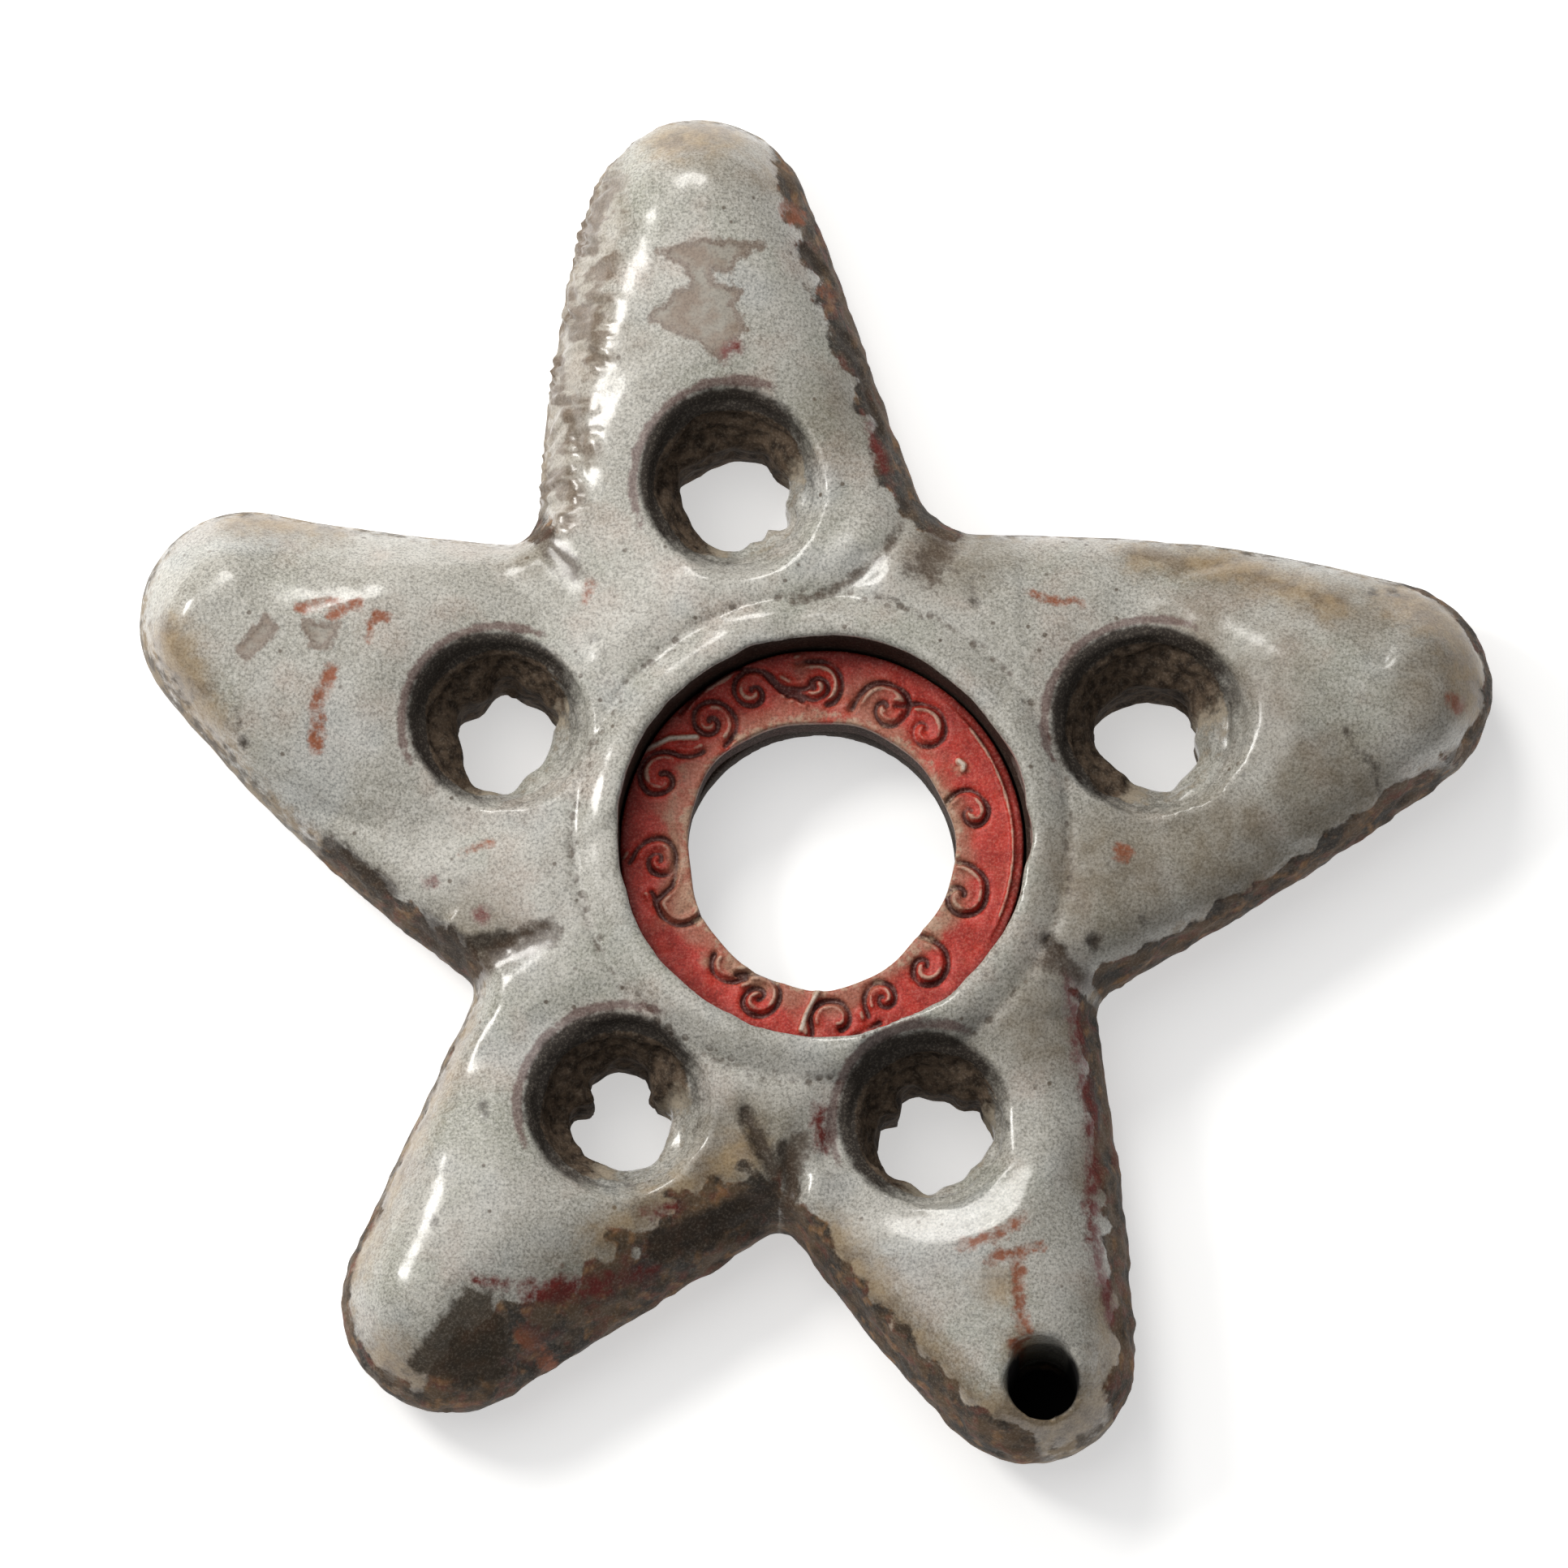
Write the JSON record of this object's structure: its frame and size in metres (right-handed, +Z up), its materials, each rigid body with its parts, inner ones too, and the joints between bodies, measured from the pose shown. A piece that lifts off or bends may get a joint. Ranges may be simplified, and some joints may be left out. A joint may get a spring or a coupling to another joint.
{
  "type": "star-shaped glazed clay spindle whorl",
  "caption": "Flat star-shaped clay whorl with a round shaft bore, a sunken ring of raised scrolls, a dished hole through each arm's root and a small blind hole.",
  "frame": {"origin": "middle of the bounding box, on the surface that the flat underside lies on", "axes": "+Z up through the thickness, out of the decorated face; +Y along the top arm, opposite the two lower arms; +X to the right arm"},
  "size_m": [0.0501, 0.0506, 0.0066],
  "materials": {
    "grey_glaze": "glossy mottled silver-grey glaze, worn to reddish-brown, tan and cream clay along edges and in chips",
    "red_slip": "satin bright red slip, worn to pale cream clay on the scroll crests, dark dirt in the hollows"
  },
  "bodies": {
    "root": {"star_body": "grey_glaze", "scroll_ring": "red_slip"}
  },
  "joints": []
}
